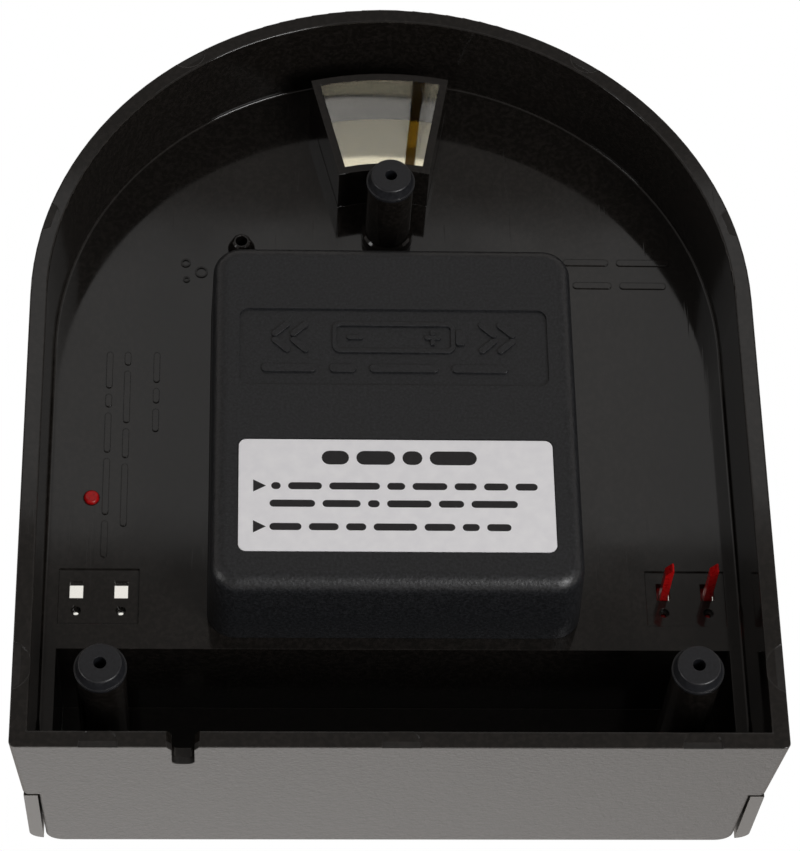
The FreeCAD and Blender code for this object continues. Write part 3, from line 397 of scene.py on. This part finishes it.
def hoops(name, outline_pairs, low, high, material, body, bevel=0.0):
    """Raised rings and frames: an outline and the same one drawn in, joined as a square band."""
    points, faces, first = [], [], 0
    for outer, inner in outline_pairs:
        n = len(outer)
        ring = np.arange(n)
        ahead = (ring + 1) % n
        loops = [(outer, low), (outer, high), (inner, high), (inner, low)]
        points.append(np.vstack([np.column_stack([line, np.full(n, z)]) for line, z in loops]))
        for k in range(4):
            a, b = k * n, ((k + 1) % 4) * n
            faces.append(np.column_stack([ring + a, ahead + a, ahead + b, ring + b]) + first)
        first += 4 * n
    return mesh_piece(name, np.vstack(points), np.vstack(faces), material, body, bevel)


def word_bars(left, y, words, height, gap):
    """A line of bars standing for words, read from below: from left, a gap apart, towards -X."""
    bars = []
    for width in words:
        bars.append(stadium(left - width / 2.0, y, width, height, steps=5))
        left -= width + gap
    return bars


# ---------------------------------------------------------------- print on the label
def make_label_print():
    """A heading of blocks, two pointers and three lines of word bars."""
    top, face = label_high[1], label_low[2]
    heading_height, row_height, word_gap = mm(3.0, 1.5, 1.4)
    first_row, last_row = mm(10.2, 19.0)
    rows = (        # left end, drop from the label's top, height of the bars, their lengths
        (mm(14.2), mm(4.0), heading_height, mm(5.2, 7.4, 3.8, 9.0)),
        (mm(23.8), first_row, row_height, mm(1.8, 6.4, 9.6, 3.4, 6.6, 4.2, 4.6, 4.2)),
        (mm(24.1), mm(14.0), row_height, mm(8.6, 7.2, 2.2, 8.4, 4.8, 8.8)),
        (mm(24.1), last_row, row_height, mm(6.0, 5.6, 3.8, 8.2, 5.8, 3.2, 4.6)),
    )
    marks = []
    for left, drop, height, words in rows:
        marks += word_bars(left, top - drop, words, height, word_gap)
    pointer_back, pointer_tip, pointer_half = mm(27.2, 24.8, 1.3)
    for drop in (first_row, last_row):
        y = top - drop
        marks.append(np.array([[pointer_back, y - pointer_half], [pointer_tip, y],
                               [pointer_back, y + pointer_half]]))
    return plates("label_print", marks, face - mm(0.03), face + mm(0.01), ink,
                  "battery_cover")


make_label_print()


# ---------------------------------------------------------------- raised marks on the cover
def frame_pair(x, y, width, height, line, corner):
    """A round-cornered outline and the one that lies line inside it."""
    return (stadium(x, y, width, height, corner=corner),
            stadium(x, y, width - 2 * line, height - 2 * line, corner=max(corner - line, line / 4)))


def make_cover_marks():
    """A battery sign with its two poles, two chevrons on each side, and a row of word bars."""
    panel = cover_low[2] + panel_depth
    low, high = panel - mm(0.45), panel + mm(0.02)
    rounding = mm(0.12)
    y = arch_y - mm(9.3)
    line = mm(0.9)
    outline = [frame_pair(0.0, y, mm(24.0), mm(7.0), line, corner=mm(1.6))]
    hoops("cover_battery_frame", outline, low, high, finishes["cover_black"],
          "battery_cover", bevel=rounding)

    # the cell's nub, then a plus of three bars that stay clear of each other, and a minus
    pole_x, pole_width, arm_centre, arm_length = mm(7.6, 3.2, 1.1, 1.1)
    solid = [stadium(mm(-13.0), y, mm(1.8), mm(3.4), corner=mm(0.5)),
             stadium(-pole_x, y, pole_width, line)]
    for side in (1, -1):
        solid.append(stadium(-pole_x, y + side * arm_centre, line, arm_length, corner=mm(0.2)))
    solid.append(stadium(pole_x, y, pole_width, line))

    # chevrons: two leaning bars that stop short of each other
    first_chevron, chevron_pitch, bar_length, bar_width, bar_centre = mm(18.4, 3.6, 4.4, 1.2, 1.8)
    bar_turn = 0.75
    for side in (-1, 1):
        for k in range(2):
            x = side * (first_chevron + k * chevron_pitch)
            for half in (1, -1):
                solid.append(stadium(x, y + half * bar_centre, bar_length, bar_width,
                                     turn=-side * half * bar_turn))
    solid += word_bars(mm(25.8), arch_y - mm(16.4), mm(10.6, 5.2, 13.4, 11.0), mm(1.7), mm(2.6))
    return plates("cover_battery_sign", solid, low, high, finishes["cover_black"],
                  "battery_cover", bevel=rounding)


make_cover_marks()


# ---------------------------------------------------------------- raised marks on the deck
def make_deck_marks():
    """Bubbles beside the air nozzle, word bars by the drop hole and columns of bars at the side."""
    low, high = deck_z - mm(0.22), deck_z + mm(0.02)
    bubble_line = mm(0.35)
    bubbles = []
    for x, y, radius in (mm(38.0, 18.4, 1.3), mm(41.2, 20.6, 1.0), mm(41.0, 16.6, 0.7)):
        bubbles.append([stadium(x, arch_y + y, 2 * r, 2 * r)
                        for r in (radius, radius - bubble_line)])
    hoops("deck_bubble_mark", bubbles, low, high, finishes["housing_black"],
          "housing")

    bar_height, bar_gap = mm(1.5, 1.6)
    bars = word_bars(mm(-36.2), arch_y + mm(21.6), mm(9.4, 11.0), bar_height, bar_gap)
    bars += word_bars(mm(-38.0), arch_y + mm(16.0), mm(8.0, 9.6), bar_height, bar_gap)
    column_start, column_width, column_gap = mm(-1.0, 1.3, 1.4)
    columns = (mm(56.0, 8.4, 3.0, 9.0, 12.6, 8.0), mm(52.4, 3.0, 12.0, 6.6, 14.0),
               mm(46.6, 7.0, 3.4, 5.2))        # a column's place across, then its bars
    for x, *lengths in columns:
        end = arch_y + column_start
        for length in lengths:
            bars.append(stadium(x, end - length / 2.0, column_width, length, steps=5))
            end -= length + column_gap
    return plates("deck_word_bars", bars, low, high, finishes["housing_black"],
                  "housing")


make_deck_marks()


# ---------------------------------------------------------------- dial numbers
def make_dial_numbers():
    """Every third hour round the dial, as thin raised figures, upright towards the rim."""
    figure_size, figure_depth, figure_lift = mm(3.2, 0.05, 0.03)
    radius, inner_radius = mm(12.2, 9.0)      # 12 and 24 stand farther in
    points, faces, first = [], [], 0
    for hour in range(3, 25, 3):
        curve = bpy.data.curves.new("hour", "FONT")
        curve.body = str(hour)
        curve.align_x = "CENTER"
        curve.align_y = "CENTER"
        curve.size = figure_size
        curve.extrude = figure_depth
        text = bpy.data.objects.new("hour", curve)
        bpy.context.scene.collection.objects.link(text)
        mesh = bpy.data.meshes.new_from_object(text)
        bpy.data.objects.remove(text)
        turn = -2.0 * math.pi * hour / 24.0
        reach = radius if hour % 12 else inner_radius
        middle = Vector((-reach * math.sin(turn), dial_y + reach * math.cos(turn),
                         dial_face + figure_lift))
        mesh.transform(Matrix.Translation(middle) @ Matrix.Rotation(turn, 4, "Z"))
        co = np.empty(len(mesh.vertices) * 3)
        mesh.vertices.foreach_get("co", co)
        points.append(co.reshape(-1, 3))
        faces += [[first + v for v in p.vertices] for p in mesh.polygons]
        first += len(mesh.vertices)
    joined = bpy.data.meshes.new("dial_numbers")
    joined.from_pydata(np.vstack(points).tolist(), [], faces)
    joined.materials.append(ink)
    piece = bpy.data.objects.new("dial_numbers", joined)
    bpy.context.scene.collection.objects.link(piece)
    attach(piece, "timer_dial")


make_dial_numbers()


# ---------------------------------------------------------------- stage
def make_floor():
    """A pale table under the feet, clear from beneath, so it never hides the open underside."""
    material, tree, spot = start("painted_table")
    mottle = add(tree, "ShaderNodeTexNoise", None, Vector=spot, Scale=scale_for(60.0), Detail=3.0)
    tone = add(tree, "ShaderNodeValToRGB", {"tones": ((0.0, "#e6e5e2"), (1.0, "#eeedea"))},
               Fac=mottle)
    paint = add(tree, "ShaderNodeBsdfPrincipled", None, Base_Color=tone, Roughness=0.6)
    clear = add(tree, "ShaderNodeBsdfTransparent")
    facing = add(tree, "ShaderNodeNewGeometry")
    mix = add(tree, "ShaderNodeMixShader", None, Fac=(facing, "Backfacing"), in_1=paint, in_2=clear)
    finish_tree(tree, mix)
    half, drop = 3.0, mm(0.05)
    corners = [(-half, -half, 0), (half, -half, 0), (half, half, 0), (-half, half, 0)]
    mesh = bpy.data.meshes.new("table")
    mesh.from_pydata(corners, [], [(0, 1, 2, 3)])
    mesh.materials.append(material)
    table = bpy.data.objects.new("table", mesh)
    table.location = (0.0, 0.0, -drop)
    bpy.context.scene.collection.objects.link(table)
    table.visible_shadow = False
    table.visible_diffuse = False
    table.visible_glossy = False


def make_world():
    """White backdrop. Reflections see a studio that is bright above and dim below."""
    world = bpy.data.worlds.new("studio")
    world.use_nodes = True
    tree = world.node_tree
    tree.nodes.clear()
    coords = add(tree, "ShaderNodeTexCoord")
    heading = add(tree, "ShaderNodeSeparateXYZ", None, Vector=(coords, "Generated"))
    level = add(tree, "ShaderNodeMapRange", {"interpolation_type": "SMOOTHSTEP"},
                Value=(heading, "Z"), From_Min=-0.5, From_Max=0.35, To_Min=0.22, To_Max=1.15)
    path = add(tree, "ShaderNodeLightPath")
    seen = add(tree, "ShaderNodeMath", {"operation": "MAXIMUM"}, in_0=(path, "Is Camera Ray"),
               in_1=(path, "Is Transmission Ray"))
    strength = add(tree, "ShaderNodeMix", {"data_type": "FLOAT"}, Factor=seen, A=level, B=1.0)
    hue = add(tree, "ShaderNodeMix", {"data_type": "RGBA"}, in_0=seen, in_6=srgb("#fff8f2"),
              in_7=srgb("#ffffff"))
    background = add(tree, "ShaderNodeBackground", None, Color=(hue, 2), Strength=strength)
    output = add(tree, "ShaderNodeOutputWorld")
    tree.links.new(background.outputs[0], output.inputs["Surface"])
    bpy.context.scene.world = world


def softbox(name, place, width, depth, radiance):
    """A white rectangular light aimed at the object. Its power is radiance times area times pi."""
    data = bpy.data.lights.new(name, "AREA")
    data.shape = "RECTANGLE"
    data.size = width
    data.size_y = depth
    data.energy = radiance * width * depth * math.pi
    light = bpy.data.objects.new(name, data)
    light.location = place
    aim = Vector((0.0, 0.0, 0.02)) - Vector(place)
    light.rotation_euler = aim.to_track_quat("-Z", "Y").to_euler()
    bpy.context.scene.collection.objects.link(light)


make_floor()
make_world()
# a wash on the deck from beyond the arch, the key on the front block and the cover's edges,
# an edge light from the side, and a soft fill over the top
softbox("arch_side_box", (0.0, 0.636, -1.018), width=0.8, depth=0.19, radiance=0.45)
softbox("key_box", (-0.62, -0.72, -0.72), width=0.5, depth=0.5, radiance=10.5)
softbox("edge_box", (0.85, -0.30, -0.30), width=0.25, depth=0.45, radiance=3.0)
softbox("top_box", (0.1, -0.6, 1.1), width=0.9, depth=0.7, radiance=1.4)


# ---------------------------------------------------------------- camera
camera_place = mm(28.24, -324.3, -520.94)
camera_tilt = math.radians(59.405)           # how steeply it looks up at the underside
camera_yaw = math.radians(5.396)
camera_roll = math.radians(5.067)
sensor_width = 36.0
focal_share = 3.7238                         # focal length over the sensor's width


def make_camera():
    """Looks up at the open underside from the front, with the round end at the top of the view."""
    ce, se = math.cos(camera_tilt), math.sin(camera_tilt)
    cy, sy = math.cos(camera_yaw), math.sin(camera_yaw)
    forward = Vector((-sy * ce, cy * ce, se))
    level = Vector((-cy, -sy, 0.0))
    upright = level.cross(forward)
    c, s = math.cos(camera_roll), math.sin(camera_roll)
    right = c * level + s * upright
    up = c * upright - s * level
    data = bpy.data.cameras.new("camera")
    data.sensor_width = sensor_width
    data.lens = sensor_width * focal_share
    data.clip_start = 0.01
    camera = bpy.data.objects.new("camera", data)
    turn = Matrix((right, up, -forward)).transposed().to_4x4()
    camera.matrix_world = Matrix.Translation(camera_place) @ turn
    bpy.context.scene.collection.objects.link(camera)
    bpy.context.scene.camera = camera


make_camera()
bpy.context.scene.view_settings.view_transform = "Standard"
